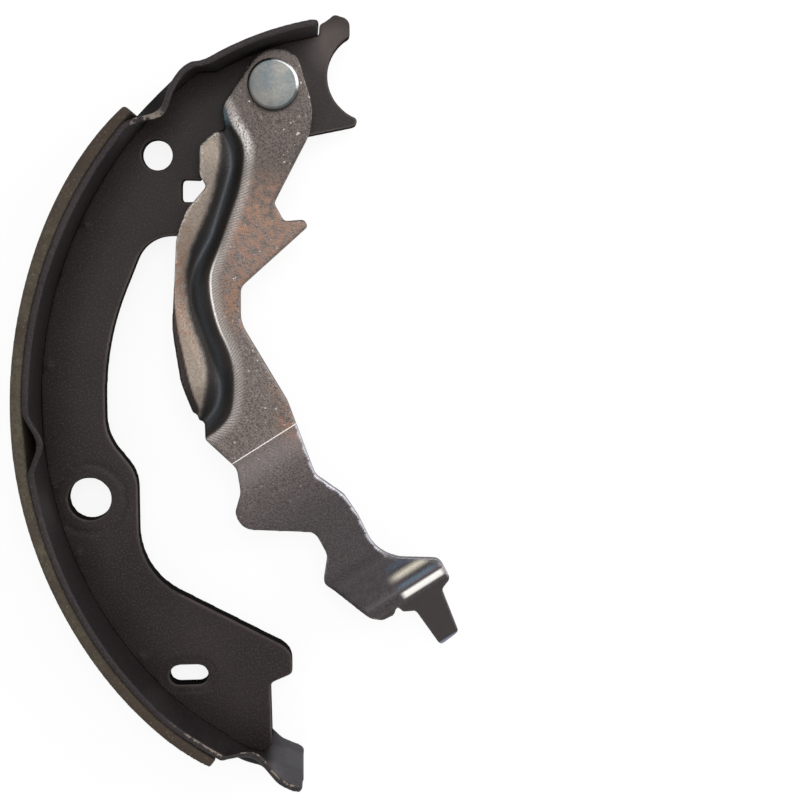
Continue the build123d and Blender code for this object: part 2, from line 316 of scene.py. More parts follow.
# %% Paint of the web and of the table
web_paint = dip_paint("dip_painted_web", "#211a1a", "#2d2626", "#473e3c")[0]
table_paint, table_shader, table_place, table_colour = dip_paint(
    "dip_painted_table", "#221d1e", "#2e2829", "#453e40"
)
print("clouds", CLOUD / MM, "mm, grit", GRIT / MM, "mm")

# %% [markdown]
# The table's tab at the lower end is a different sight: the strip was wiped there, so its paint is
# smooth and bluish. Its colour is laid over the table's own where the `wiped_tab` number says so.
# Beside the tab the table's front edge is rubbed through to bright steel in short dashes, and on top
# of the upper crimp the same pale dashes are a painted highlight. The `front_rub_and_highlight`
# number gives the place and a noise breaks it up.

# %% Table extras: the wiped tab, the rubbed edge and the crimp's painted highlight
DASH = 1.6 * MM
wiped_tab = add_node(table_paint, "ShaderNodeAttribute", attribute_name="wiped_tab").outputs["Fac"]
front_rub_and_highlight_mask = add_node(table_paint, "ShaderNodeAttribute", attribute_name="front_rub_and_highlight").outputs["Fac"]
dashes = add_node(
    table_paint, "ShaderNodeTexNoise", {"Vector": table_place, "Scale": 1 / DASH, "Detail": 1.0}
)
table_colour = lay_colours(
    table_paint,
    table_colour,
    ("#333034", wiped_tab),
    # Pale dashes: rubbed steel beside the tab, and a painted highlight on the upper crimp
    ("#93867b", front_rub_and_highlight_mask, mottle(table_paint, dashes, 0.5, 0.58)),
)
table_paint.node_tree.links.new(table_colour, table_shader.inputs["Base Color"])
print("dashes", DASH / MM, "mm")

# %% [markdown]
# ## Web
# The web is a flat blank. Blanking rolls its edge over by about half a millimetre, which shows as a
# soft pale line along its inner edge. The softened copy gives that roll-over, and its
# `rub_and_highlight` number, high where the surface turns from the face to the edge, tells the paint
# where it is rubbed and where it gets a pale painted highlight. The lobe beside the anchor notch is
# rubbed all over. The `shade_and_dullness` number is 1 on the blanked edges, which get painted
# shade, and the face gets a little painted shade in the corner under the table.

# %% Web piece
TABLE_INSIDE = 100.7  # radius where the web meets the table, in millimetres
# The face's dark band next to the table is painted shade
CORNER_REACH = (1.0, 9.0)  # how far from the table the face is dark, and where that ends
ANCHOR_LOBE = (-30.5, 85.5)
LOBE_REACH = (2.0, 9.0)
# How much a normal points along Z: 0 on the blanked edge, 1 on the flat face
BLANKED_EDGE, ROLL_OVER, FLAT_FACE = (0.2, 0.5), (0.25, 0.6), (0.86, 0.985)
# Strengths of the roll-over's rub and painted highlight, of the rubbed lobe and of the painted shade in the
# corner
ROLL_RUB_AND_HIGHLIGHT, LOBE_RUB, CORNER_SHADE = 0.8, 0.9, 0.25

web = softened_copy("web", "web_blank", skin=0.45 * MM, rounds=4)
places, normals = points_and_normals(web)
flatness = np.abs(normals[:, 2])
roll_over = band(ROLL_OVER, FLAT_FACE, flatness)
from_lobe = np.hypot(places[:, 0] - ANCHOR_LOBE[0], places[:, 1] - ANCHOR_LOBE[1])
lobe = (1 - step(*LOBE_REACH, from_lobe)) * step(*FLAT_FACE, flatness)
from_table = TABLE_INSIDE - np.hypot(places[:, 0], places[:, 1])
shaded_blanked_edge = 1 - step(*BLANKED_EDGE, flatness)
corner_shade = 1 - step(*CORNER_REACH, from_table)
store(web, "rub_and_highlight", np.clip(roll_over * ROLL_RUB_AND_HIGHLIGHT + lobe * LOBE_RUB, 0, 1))
# Painted shade on the blanked edges, and a little in the corner under the table
store(web, "shade_and_dullness", np.maximum(shaded_blanked_edge, corner_shade * CORNER_SHADE))
finish_piece(web, "shoe", web_paint, "web")

# %% [markdown]
# ## Table
# The table is a strip rolled to the drum's curve, crimped inwards at its front edge in three places
# so that it grips the web, and bent to a flat tab at its lower end. Rolling leaves no sharp corner
# anywhere on it. Its numbers go by the angle round the drum, counted from +X, and by how near a
# vertex is to the front edge. Both walls get painted shade, nearly black, and are dull, the outer
# one more.

# %% Table piece
FRONT_EDGE = (0.9, 0.4)  # how far below the table's front it starts and is full, in millimetres
UPPER_CRIMP = ((134.8, 136.4), (138.6, 140.0))  # where its top rises and falls, in degrees
TAB_START = (240.3, 242.0)
RUBBED_BELOW = (-78, -70)  # height under which the front edge is rubbed, in millimetres
# How much a normal points along +Z where the wall turns into the edge, and the edge flattens
EDGE_TURN, CRIMP_TURN = ((0.2, 0.5), (0.9, 0.99)), (0.3, 0.6)
INWARDS = (0.2, 0.5)  # how much a normal points to the drum's axis on the inner half of the edge
# Strengths of the edge's rub with its painted highlight, and of the painted highlight on the upper crimp
EDGE_RUB_AND_HIGHLIGHT, CRIMP_HIGHLIGHT = 0.15, 0.7
# Strengths of the painted shade on the outer and the inner wall, which also dulls them
OUTER_SHADE_AND_DULLNESS, INNER_SHADE_AND_DULLNESS = 0.85, 0.35

table = softened_copy("table", "rolled_table", skin=0.45 * MM, rounds=5)
places, normals = points_and_normals(table)
from_drum_axis = np.hypot(places[:, 0], places[:, 1])
outwards = (normals[:, 0] * places[:, 0] + normals[:, 1] * places[:, 1]) / from_drum_axis
angle = np.degrees(np.arctan2(places[:, 1], places[:, 0])) % 360
front = places[:, 2].max()
on_edge = step(front - FRONT_EDGE[0], front - FRONT_EDGE[1], places[:, 2])
on_tab = step(*TAB_START, angle)
edge_turn = band(*EDGE_TURN, normals[:, 2]) * on_edge
inner_turn = edge_turn * step(*INWARDS, -outwards) * (1 - step(*RUBBED_BELOW, places[:, 1]))
# The top of the upper crimp gets a painted highlight
crimp_top_highlight = band(*UPPER_CRIMP, angle) * step(*CRIMP_TURN, normals[:, 2]) * on_edge
shade_and_dullness_by_side = np.where(outwards > 0, OUTER_SHADE_AND_DULLNESS, INNER_SHADE_AND_DULLNESS)
store(table, "rub_and_highlight", edge_turn * EDGE_RUB_AND_HIGHLIGHT)
store(table, "front_rub_and_highlight", np.maximum(inner_turn, crimp_top_highlight * CRIMP_HIGHLIGHT))
store(table, "wiped_tab", on_tab * (1 - on_edge))
# Painted shade on both walls, away from the front edge and the tab
store(table, "shade_and_dullness", shade_and_dullness_by_side * (1 - on_edge) * (1 - on_tab))
finish_piece(table, "shoe", table_paint, "table")

# %% [markdown]
# ## Lining: moulded friction compound
# The lining is fibre, rubber, brass dust and resin pressed hot into a mould and cured on the table.
# Its sides keep the mould's dull olive brown skin, and its outer face is ground to the drum's
# curve, which opens the grain. It is quite matt, mottled at the size of its fibres, with darker
# pits, broad patches and a few pale flecks, and it turns browner towards both ends, by its
# `browning` number.

# %% Friction compound
FIBRE = 1.1 * MM
PATCH = 9 * MM
FLECK = 0.6 * MM
friction, friction_shader, friction_place = new_material(
    "moulded_friction_compound", IOR=1.45, Specular_IOR_Level=0.3, Roughness=0.85
)
fibres = add_node(
    friction,
    "ShaderNodeTexNoise",
    {"Vector": friction_place, "Scale": 1 / FIBRE, "Detail": 4.0, "Roughness": 0.7},
)
patches = add_node(
    friction, "ShaderNodeTexNoise", {"Vector": friction_place, "Scale": 1 / PATCH, "Detail": 3.0}
)
flecks = add_node(
    friction, "ShaderNodeTexNoise", {"Vector": friction_place, "Scale": 1 / FLECK, "Detail": 2.0}
)
browning = add_node(friction, "ShaderNodeAttribute", attribute_name="browning").outputs["Fac"]
friction_colour = lay_colours(
    friction,
    hex_colour("#433e33"),
    ("#5c5447", mottle(friction, fibres, 0.36, 0.64)),
    ("#433a33", mottle(friction, patches, 0.4, 0.7)),
    ("#3d322c", browning),
    ("#675d50", mottle(friction, flecks, 0.58, 0.78)),
)
pits = add_node(
    friction, "ShaderNodeBump", {"Height": fibres.outputs["Fac"], "Strength": 0.6, "Distance": 0.25 * MM}
)
friction.node_tree.links.new(friction_colour, friction_shader.inputs["Base Color"])
friction.node_tree.links.new(pits.outputs[0], friction_shader.inputs["Normal"])
print("fibres", FIBRE / MM, "mm, patches", PATCH / MM, "mm, flecks", FLECK / MM, "mm")

# %% [markdown]
# The lining's corners are as the mould left them, so its copy is rounded by two passes only. It is
# brownest at its ends, which are 75 mm and more above and below its middle.

# %% Lining piece
LINING_MIDDLE = -5  # its height, in millimetres
BROWNS_FROM, BROWNEST_AT = 35, 75  # above and below its middle
BROWNEST = 0.75

lining = softened_copy("lining", "bonded_lining", skin=0.5 * MM, rounds=2)
places = points_and_normals(lining)[0]
from_middle = np.abs(places[:, 1] - LINING_MIDDLE)
store(lining, "browning", step(BROWNS_FROM, BROWNEST_AT, from_middle) * BROWNEST)
finish_piece(lining, "shoe", friction, "lining")

# %% [markdown]
# ## Lever: where its features lie
# The lever is pressed from 3 mm sheet. A channel runs down its outer side, with a land of rubbed
# metal beside it and a tilted flange beyond it, and lower down the sheet folds away and ends in a
# curled tongue. The finish changes with these, so each vertex gets its distance from three lines:
# the channel's rim, the flange's foot and the flange's outer edge. They are given from the pivot
# downwards, in millimetres.

# %% Lines on the lever
pivot = np.array(frame["joints"][0]["pos_m"][:2]) / MM
channel_rim = [
    (-12.6, -2.0), (-10.9, -6.5), (-9.8, -9.2), (-7.8, -12.0), (-6.8, -14.8), (-7.3, -19.4), (-8.2, -24.4),
    (-9.8, -28.6), (-13.2, -37.8), (-15.2, -42.4), (-15.5, -46.4), (-14.9, -51.0), (-13.5, -56.4),
    (-11.9, -59.5), (-10.4, -63.5), (-9.9, -68.2), (-10.3, -74.6), (-11.5, -77.7), (-14.6, -80.7),
    (-18.5, -83.0),
]
flange_foot = [
    (-12.8, 0.0), (-12.4, -12.0), (-12.3, -14.9), (-12.7, -18.8), (-13.9, -24.0), (-15.4, -28.6),
    (-17.5, -33.2), (-19.7, -37.8), (-20.7, -42.4), (-21.0, -46.4), (-20.4, -52.4), (-18.9, -57.1),
    (-17.3, -61.1), (-16.3, -65.1), (-16.3, -68.9), (-17.0, -72.9), (-18.0, -76.5), (-20.5, -84.0),
]
flange_outside = [
    (-9.0, -8.8), (-13.6, -10.4), (-17.2, -13.8), (-17.4, -20.4), (-16.4, -23.4), (-20.5, -29.2),
    (-22.6, -35.0), (-23.9, -46.0), (-23.8, -56.0), (-22.7, -65.0), (-21.4, -71.0), (-19.2, -77.0),
    (-17.5, -81.0),
]
print("pivot at", pivot.round(2), "mm")

# %% [markdown]
# The press tool's lines have no corners, so these get theirs cut three times over. A vertex then
# looks for the nearest stretch of a line. That gives how far along the line it lies, and how far
# beside it.

# %% Smooth lines, and distances from them
def smooth_path(corners):
    """A line through the corners from the pivot, its corners cut three times over."""
    path = np.array(corners)
    for _ in range(3):
        first, second = path[:-1], path[1:]
        cut = np.stack([0.75 * first + 0.25 * second, 0.25 * first + 0.75 * second], axis=1)
        path = np.concatenate([path[:1], cut.reshape(-1, 2), path[-1:]])
    return path + pivot


def along_and_beside(points, path):
    """Distance along a path, and signed distance to the right of it, of each point."""
    starts, runs = path[:-1], np.diff(path, axis=0)
    lengths = np.linalg.norm(runs, axis=1)
    travelled = np.concatenate([[0], np.cumsum(lengths)[:-1]])
    best = np.full(len(points), np.inf)
    along, beside = np.zeros(len(points)), np.zeros(len(points))
    for start, run, length, before in zip(starts, runs, lengths, travelled):
        offset = points - start
        share = np.clip(offset @ run / length**2, 0, 1)
        gap = np.linalg.norm(offset - share[:, None] * run, axis=1)
        side = np.sign(offset[:, 0] * run[1] - offset[:, 1] * run[0])
        nearer = gap < best
        best = np.where(nearer, gap, best)
        along = np.where(nearer, before + share * length, along)
        beside = np.where(nearer, gap * side, beside)
    return along, beside


# %% [markdown]
# The lever's sheet is rounded by tumbling, so its copy gets three passes. The fold is a straight
# line, so a distance past it and one along it are enough for the curled end.

# %% Lever piece
FOLD_FROM_PIVOT = (-3.1, -83.5)
FOLD_HEADING = radians(-58)

lever = softened_copy("lever", "pressed_lever", skin=0.4 * MM, rounds=3)
places, normals = points_and_normals(lever)
flat_places, flat_normals = places[:, :2], normals[:, :2]
along, beside = along_and_beside(flat_places, smooth_path(channel_rim))
past_foot = along_and_beside(flat_places, smooth_path(flange_foot))[1]
past_outside = along_and_beside(flat_places, smooth_path(flange_outside))[1]
heading = np.array([cos(FOLD_HEADING), sin(FOLD_HEADING)])
fold_line = np.array([-heading[1], heading[0]])
from_fold = flat_places - (pivot + np.array(FOLD_FROM_PIVOT))
past_fold = from_fold @ heading
below_pivot = flat_places[:, 1] - pivot[1]
print("channel", round(float(along.max()), 1), "mm long, fold to tip", round(float(past_fold.max()), 1), "mm")

# %% [markdown]
# From these come the masks: which part of the sheet a vertex lies on, where an edge gets a painted
# highlight, and where the flange's outer edge gets painted shade or a painted highlight.

# %% Lever's numbers
UPPER_RIGHT = (0.6, 0.8)
# Where each part of the sheet starts or ends, as soft bands in millimetres
FOLD = (-0.5, 0.5)  # past the fold's line
CHANNEL_START = (-0.3, 0.3)  # beside the channel's rim
CHANNEL_END, FLANGE_START = (-0.6, 0.7), (-0.1, 0.8)  # past the flange's foot
LAND = ((-3.2, -0.6), (-0.4, 0.1))  # beside the channel's rim
# These edges get a painted highlight
LAND_MIDDLE, LAND_CLEARANCE = -1, (1.5, 2.5)  # the rubbed edges keep this far from the land's middle
# The flange's outer edge gets dark painted shade low on the lever, and a thin painted highlight, a glint,
# above it
SHADED_EDGE_END, GLINT_START = (-50, -42), (-47, -42)  # below the pivot
SHADED_EDGE_WIDTH, SHADED_EDGE_GAIN, SHADED_EDGE_WIDENS = 0.5, 1.4, (-68, -46)
GLINT_WIDTH = 0.7
# How much a normal points along +Z where the sheet faces front, and where its edges turn
FRONT_FACE = (0.2, 0.5)
RUB_AND_HIGHLIGHT_TURN, CUT_EDGE_TURN = ((0.1, 0.35), (0.84, 0.96)), ((0.05, 0.2), (0.955, 0.985))
# The cut edges that look to the upper right get a painted highlight
LIT_SIDE = (0.3, 0.6)  # how much an edge looks to the upper right where it is burnished

uphill = flat_normals @ np.array(UPPER_RIGHT) / np.maximum(np.hypot(*flat_normals.T), 0.01)
upper = 1 - step(*FOLD, past_fold)
facing = step(*FRONT_FACE, normals[:, 2])
flange = step(*FLANGE_START, past_foot) * upper
channel = step(*CHANNEL_START, beside) * (1 - step(*CHANNEL_END, past_foot)) * upper
land = band(*LAND, beside) * upper * facing
off_land = step(*LAND_CLEARANCE, np.abs(beside - LAND_MIDDLE)) * (1 - land)
rub_and_highlight_turn = band(*RUB_AND_HIGHLIGHT_TURN, normals[:, 2])
cut_edge_highlight = band(*CUT_EDGE_TURN, normals[:, 2]) * step(*LIT_SIDE, uphill) * (1 - upper)
shaded_edge_width = SHADED_EDGE_WIDTH + SHADED_EDGE_GAIN * (1 - step(*SHADED_EDGE_WIDENS, below_pivot))
shaded_edge = step(0, 0.4, past_outside + shaded_edge_width) * (1 - step(*SHADED_EDGE_END, below_pivot))
glint = step(0, 0.2, past_outside + GLINT_WIDTH) * step(*GLINT_START, below_pivot)

lever_numbers = {
    "channel": channel,
    "across_channel": np.clip(beside / np.maximum(beside - past_foot, 0.5), 0, 1),
    "land": land,
    "flange": flange,
    "along": along,
    "beside": beside,
    "past_fold": past_fold,
    "across_fold": from_fold @ fold_line,
    "facing": facing,
    # Pale edges: a painted highlight where the sheet turns into its edges
    "rub_and_highlight": rub_and_highlight_turn * off_land * (1 - flange) * (1 - channel),
    "flange_edge_shade": shaded_edge * flange,
    "flange_glint": glint * rub_and_highlight_turn * flange,
    "cut_edge_highlight": cut_edge_highlight,
}
for name, values in lever_numbers.items():
    store(lever, name, values)

# %% [markdown]
# ## Lever: tumbled zinc plate
# The lever is zinc plated and tumbled in a barrel with hundreds of others. The plate is a warm
# satin grey, mottled like its crystals, with a few bright nicks. Its cut edges get a painted
# highlight, and its channel is painted dark, in shade, with painted reflections. The land beside
# the channel is pale, partly wiped by the press tool and partly a painted highlight, with slanting
# tool marks, and a first bloom of rust tints a few places orange. An image texture could hold all
# this, but it would be fixed to one size. Masks stay sharp at any size, and here they are of four
# kinds: mottles, the lever's own numbers, bands of those numbers, and soft round spots.

# %% Zinc plate: its masks
SHEET_HEIGHT = 7  # the lever's face over the web's middle, in millimetres

zinc, zinc_shader, zinc_place = new_material("tumbled_zinc_plate", Metallic=0.9)
number = {
    name: add_node(zinc, "ShaderNodeAttribute", attribute_name=name).outputs["Fac"] for name in lever_numbers
}


def plate_mottle(size, low, high, detail=3.0):
    """A mottle of the plate with grains of a size, in metres."""
    inputs = {"Vector": zinc_place, "Scale": 1 / size, "Detail": detail}
    return mottle(zinc, add_node(zinc, "ShaderNodeTexNoise", inputs), low, high)


def between(name, low, high, soft):
    """1 where one of the lever's numbers lies between two limits, with soft ends."""
    ends = []
    for start, end in ((low - soft, low + soft), (high + soft, high - soft)):
        inputs = {"Value": number[name], "From Min": start, "From Max": end}
        ends.append(add_node(zinc, "ShaderNodeMapRange", inputs, interpolation_type="SMOOTHSTEP").outputs[0])
    return add_node(zinc, "ShaderNodeMath", {0: ends[0], 1: ends[1]}, operation="MULTIPLY").outputs[0]


def near(x, y, reach):
    """A soft round spot, given in millimetres from the pivot. It fades from a fifth of its reach on."""
    spot = ((pivot[0] + x) * MM, (pivot[1] + y) * MM, SHEET_HEIGHT * MM)
    gap = add_node(zinc, "ShaderNodeVectorMath", {0: zinc_place, 1: spot}, operation="DISTANCE")
    inputs = {"Value": gap.outputs["Value"], "From Min": reach * MM, "From Max": 0.2 * reach * MM}
    return add_node(zinc, "ShaderNodeMapRange", inputs, interpolation_type="SMOOTHSTEP").outputs[0]


print(len(number), "numbers on the lever")

# %% [markdown]
# Four mottles come first: the plate's crystals, its blotches, its nicks and the grain of the rust.
# The tool marks are a Wave texture in the land's own coordinates, so they follow its bends, and
# they are turned to slant across it.

# %% Zinc plate: its patterns
SATIN = 0.4 * MM  # crystals of the plate, drawn coarse enough to show
NICK = 0.9 * MM
BLOTCH = 2.6 * MM
RUST_GRAIN = 1.6 * MM
TOOL_MARKS = 0.6  # one mark every 0.6 mm along the land
MARK_SLANT = radians(35)
WAVE_REPEAT = pi / 10  # distance after which a Wave texture repeats at scale 1

satin = plate_mottle(SATIN, 0.36, 0.64)
blotches = plate_mottle(BLOTCH, 0.38, 0.66, 4.0)
nicks = plate_mottle(NICK, 0.71, 0.78, 1.0)
rust = plate_mottle(RUST_GRAIN, 0.36, 0.7, 5.0)
on_land = add_node(zinc, "ShaderNodeCombineXYZ", {"X": number["along"], "Y": number["beside"]})
slanted = add_node(zinc, "ShaderNodeMapping", {"Vector": on_land.outputs[0], "Rotation": (0, 0, MARK_SLANT)})
marks = add_node(
    zinc,
    "ShaderNodeTexWave",
    {"Vector": slanted.outputs[0], "Scale": WAVE_REPEAT / TOOL_MARKS, "Distortion": 2.5, "Detail": 3.0},
    wave_type="BANDS",
    bands_direction="X",
).outputs["Fac"]
print("crystals", SATIN / MM, "mm, tool marks every", TOOL_MARKS, "mm")

# %% [markdown]
# Each layer is a colour and the masks and shares that it is laid on with, and they go on in this
# order: first the plate with its painted shade and its rust, then the flange, the land, the channel
# and the edges, with their own tones, tool marks, painted shade and painted highlights.

# %% Zinc plate: its layers
plate_layers = (
    ("#7a716d", satin),
    ("#5b5350", blotches, 0.5),
    # Painted shade round the pin's head, with the plate's crystals laid back over it
    ("#2d2825", near(1.0, -8.0, 30), 0.85),
    ("#6b635f", near(1.0, -6.0, 26), satin, 0.7),
    # Bright nicks lie all over
    ("#b0aaa5", nicks, 0.8),
    # Rust, in four places down the sheet
    ("#836656", near(-3.5, -33.0, 18), rust),
    ("#85634e", near(-6.7, -50.0, 10), rust),
    ("#94694f", near(4.6, -79.5, 7), rust, 0.8),
    ("#7d665a", near(3.2, -69.5, 9), rust, 0.6),
    # Past the fold the sheet is pale at first, and then dark: painted shade where the bent sheet turns away
    # from the light
    ("#8c8483", between("past_fold", 1.0, 6.0, 4.0), 0.5),
    ("#403b3c", between("past_fold", 13.0, 100.0, 11.0)),
    ("#6f6869", between("past_fold", 8.0, 100.0, 8.0), satin, 0.33),
)
flange_layers = (
    ("#877d73", number["flange"], 0.9),
    ("#6e6259", number["flange"], plate_mottle(0.6 * MM, 0.38, 0.62), 0.6),
    ("#7c5d4c", number["flange"], near(-21.8, -47.0, 22), rust, 0.85),
    # Painted shade on the flange's outer edge, and a painted highlight above it
    ("#2b2624", number["flange_edge_shade"]),
    ("#cfc8c0", number["flange_glint"]),
)
land_marks_and_highlights = (
    # The land is pale, partly wiped and partly a painted highlight on its shoulder
    ("#7f7976", number["land"], 0.6),
    ("#a39d98", number["land"], marks, 0.6),
    # A painted highlight, a bright line along the channel's rim
    ("#d8d3ce", between("beside", -0.55, -0.1, 0.12), near(-14.5, -50.0, 17), 0.9),
    # A painted highlight high on the land
    ("#cfcbc7", number["land"], near(-8.6, -11.0, 9), satin),
)
channel_shade_and_reflections = (
    # The channel is painted dark, in shade, with a painted reflection down its middle and a teal painted
    # reflection at its upper end
    ("#2d2a29", number["channel"]),
    ("#484c51", number["channel"], between("across_channel", 0.4, 0.6, 0.22)),
    ("#6f858e", number["channel"], near(-11.0, -6.0, 4)),
)
edge_layers = (
    # A painted highlight on the sheet's turned edges
    ("#99938e", number["rub_and_highlight"], plate_mottle(1.5 * MM, 0.38, 0.7), 0.6),
    # A painted highlight on the cut edges past the fold that face the upper right
    ("#b6b4bc", number["cut_edge_highlight"]),
    # The fold itself is a bright line, a painted highlight
    ("#e4e0da", between("past_fold", -0.1, 0.1, 0.06)),
)
upper_layers = plate_layers + flange_layers + land_marks_and_highlights + channel_shade_and_reflections + edge_layers
print(len(upper_layers), "layers on the sheet")

# %% [markdown]
# The curled end is bent to and fro, and its bends get painted reflections, light and dark, in bands
# across the sheet, each at its own distance past the fold, with a painted highlight on the crest. The
# tongue beyond it is painted dark, in shade, and its tip pale, as a painted highlight.

# %% Zinc plate: the curled end
facing_sheet = number["facing"]
curl_middle = between("across_fold", 8.2, 18.5, 2.0)
curl_right = between("across_fold", 15.5, 22.0, 2.0)
curl_crest_highlight = between("across_fold", 8.3, 19.6, 0.8)
curl_reflections_and_shade = (
    ("#332f30", facing_sheet, between("past_fold", 38.0, 48.5, 2.5), 0.8),
    ("#434d59", facing_sheet, curl_middle, between("past_fold", 42.0, 43.0, 0.9)),
    ("#8b8d97", facing_sheet, curl_right, between("past_fold", 39.5, 42.5, 1.2)),
    ("#bdb7a8", facing_sheet, curl_middle, between("past_fold", 44.3, 45.5, 0.8)),
    ("#526170", facing_sheet, curl_middle, between("past_fold", 46.9, 47.6, 0.5)),
    ("#f4f1ec", facing_sheet, curl_crest_highlight, between("past_fold", 48.7, 50.2, 0.4)),
    # The tongue gets painted shade, and its tip a pale painted highlight
    ("#403a3a", between("past_fold", 51.2, 90.0, 0.5), 0.8),
    ("#868ea0", between("past_fold", 65.9, 90.0, 0.25), 0.8),
)
zinc_colour = lay_colours(zinc, hex_colour("#4a4340"), *upper_layers, *curl_reflections_and_shade)
print(len(curl_reflections_and_shade), "layers on the curled end")

# %% [markdown]
# Tumbling leaves the plate satin, with a fine relief at the size of its crystals, and the press
# tool's marks stand on the land as shallow ridges. Both are far too small to model, so two Bump
# nodes in a row give them.

# %% Zinc plate: its gloss and relief
gloss = add_node(zinc, "ShaderNodeMapRange", {"Value": satin, "To Min": 0.36, "To Max": 0.5})
ridges = add_node(zinc, "ShaderNodeMath", {0: number["land"], 1: marks}, operation="MULTIPLY")
crystals = add_node(zinc, "ShaderNodeBump", {"Height": satin, "Strength": 0.3, "Distance": 0.08 * MM})
marked = add_node(
    zinc,
    "ShaderNodeBump",
    {"Height": ridges.outputs[0], "Strength": 0.2, "Distance": 0.1 * MM, "Normal": crystals.outputs[0]},
)
zinc.node_tree.links.new(zinc_colour, zinc_shader.inputs["Base Color"])
zinc.node_tree.links.new(gloss.outputs[0], zinc_shader.inputs["Roughness"])
zinc.node_tree.links.new(marked.outputs[0], zinc_shader.inputs["Normal"])
finish_piece(lever, "operating_lever", zinc, "lever")
print("zinc plate on", lever.name)

# %% [markdown]
# ## Pivot pin: cold headed and zinc plated
# The pin is headed from wire, so its head is round edged with a flat top, and its shank has a
# groove for the retaining ring behind the web. It starts as a cylinder the size of the head, whose
# face stays bare.

# %% Pin's head
pin_low, pin_high = (np.array(corner_shade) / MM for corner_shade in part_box("pivot_pin"))
HEAD_RADIUS, SHANK_RADIUS, GROOVE_RADIUS = 5.9, 4.0, 3.0
HEAD_HEIGHT, GROOVE_TOP, GROOVE_WIDTH = 2.2, -2.35, 1.0
HEAD_ROUNDING, TIP_CHAMFER = 0.75, 0.5
head_base = pin_high[2] - HEAD_HEIGHT

bpy.ops.object.select_all(action="DESELECT")
bpy.ops.mesh.primitive_cylinder_add(
    vertices=96,
    radius=HEAD_RADIUS * MM,
    depth=HEAD_HEIGHT * MM,
    location=(pivot[0] * MM, pivot[1] * MM, (head_base + HEAD_HEIGHT / 2) * MM),
)
pin = bpy.context.active_object
pin.name = "headed_pin"
bpy.ops.object.transform_apply(location=True, rotation=True, scale=True)
print("head from", round(head_base, 2), "to", round(pin_high[2], 2), "mm")

# %% [markdown]
# The shank is pulled out of the head's underside ring by ring: each step extrudes the face and
# scales it about the pin's axis, which also sinks the groove. The head's upper edge is then bevelled
# round, as the heading die leaves it.

# %% Pin's shank and the head's round edge
def select_faces(piece, wanted):
    """Selects the faces whose normal passes a test, in edit mode afterwards."""
    bpy.ops.object.mode_set(mode="EDIT")
    bpy.ops.mesh.select_mode(type="FACE")
    bpy.ops.mesh.select_all(action="DESELECT")
    bpy.ops.object.mode_set(mode="OBJECT")
    for face in piece.data.polygons:
        face.select = wanted(face.normal)
    bpy.ops.object.mode_set(mode="EDIT")


rings = (
    (SHANK_RADIUS, head_base),
    (SHANK_RADIUS, GROOVE_TOP),
    (GROOVE_RADIUS, GROOVE_TOP),
    (GROOVE_RADIUS, GROOVE_TOP - GROOVE_WIDTH),
    (SHANK_RADIUS, GROOVE_TOP - GROOVE_WIDTH),
    (SHANK_RADIUS, pin_low[2] + TIP_CHAMFER),
    (SHANK_RADIUS - TIP_CHAMFER, pin_low[2]),
)
select_faces(pin, lambda normal: normal.z < -0.9)
radius, level = HEAD_RADIUS, head_base
for next_radius, next_level in rings:
    bpy.ops.mesh.extrude_region_move(TRANSFORM_OT_translate={"value": (0, 0, (next_level - level) * MM)})
    share = next_radius / radius
    centre = (pivot[0] * MM, pivot[1] * MM, next_level * MM)
    bpy.ops.transform.resize(value=(share, share, 1), center_override=centre)
    radius, level = next_radius, next_level
select_faces(pin, lambda normal: normal.z > 0.9)
bpy.ops.mesh.bevel(offset=HEAD_ROUNDING * MM, segments=5, affect="EDGES")
bpy.ops.object.mode_set(mode="OBJECT")
bpy.ops.object.shade_smooth_by_angle(angle=radians(35))
print("pin from", pin_low[2].round(2), "to", pin_high[2].round(2))

# %% [markdown]
# The pin's zinc is passivated, so it is bluer than the lever's, smoother, and stained in soft warm
# clouds where the bath dried. The rounded edge of its head gets a painted highlight on one side, in a
# crescent: a ring by the distance from the pin's axis, cut by how far a point lies to that side.

# %% Pin finish
STAIN = 5 * MM
SCUFF = 0.6 * MM
HIGHLIGHT_RING = (5.1 * MM, 5.4 * MM)
HIGHLIGHT_SIDE = (0.75, 0.66, 0)
HIGHLIGHT_CRESCENT = (3.0 * MM, 4.6 * MM)

blue_zinc, pin_shader, pin_place = new_material("passivated_zinc", Metallic=0.9)
stains = add_node(blue_zinc, "ShaderNodeTexNoise", {"Vector": pin_place, "Scale": 1 / STAIN, "Detail": 4.0})
scuffs = add_node(blue_zinc, "ShaderNodeTexNoise", {"Vector": pin_place, "Scale": 1 / SCUFF, "Detail": 3.0})
pin_axis = (pivot[0] * MM, pivot[1] * MM, 0)
offset = add_node(blue_zinc, "ShaderNodeVectorMath", {0: pin_place, 1: pin_axis}, operation="SUBTRACT")
flat_offset = add_node(
    blue_zinc, "ShaderNodeVectorMath", {0: offset.outputs[0], 1: (1, 1, 0)}, operation="MULTIPLY"
).outputs[0]
from_axis = add_node(blue_zinc, "ShaderNodeVectorMath", {0: flat_offset}, operation="LENGTH")
to_side = add_node(
    blue_zinc, "ShaderNodeVectorMath", {0: flat_offset, 1: HIGHLIGHT_SIDE}, operation="DOT_PRODUCT"
)
highlight_crescent_parts = []
for distance, (start, full) in ((from_axis, HIGHLIGHT_RING), (to_side, HIGHLIGHT_CRESCENT)):
    inputs = {"Value": distance.outputs["Value"], "From Min": start, "From Max": full}
    highlight_crescent_parts.append(add_node(blue_zinc, "ShaderNodeMapRange", inputs).outputs[0])
pin_colour = lay_colours(
    blue_zinc,
    hex_colour("#4c5255"),
    ("#62615d", mottle(blue_zinc, stains, 0.4, 0.65)),
    # A painted highlight, white, on one side of the head's rounded edge
    ("#f2f2f4", *highlight_crescent_parts),
)
pin_gloss = add_node(
    blue_zinc, "ShaderNodeMapRange", {"Value": scuffs.outputs["Fac"], "To Min": 0.25, "To Max": 0.42}
)
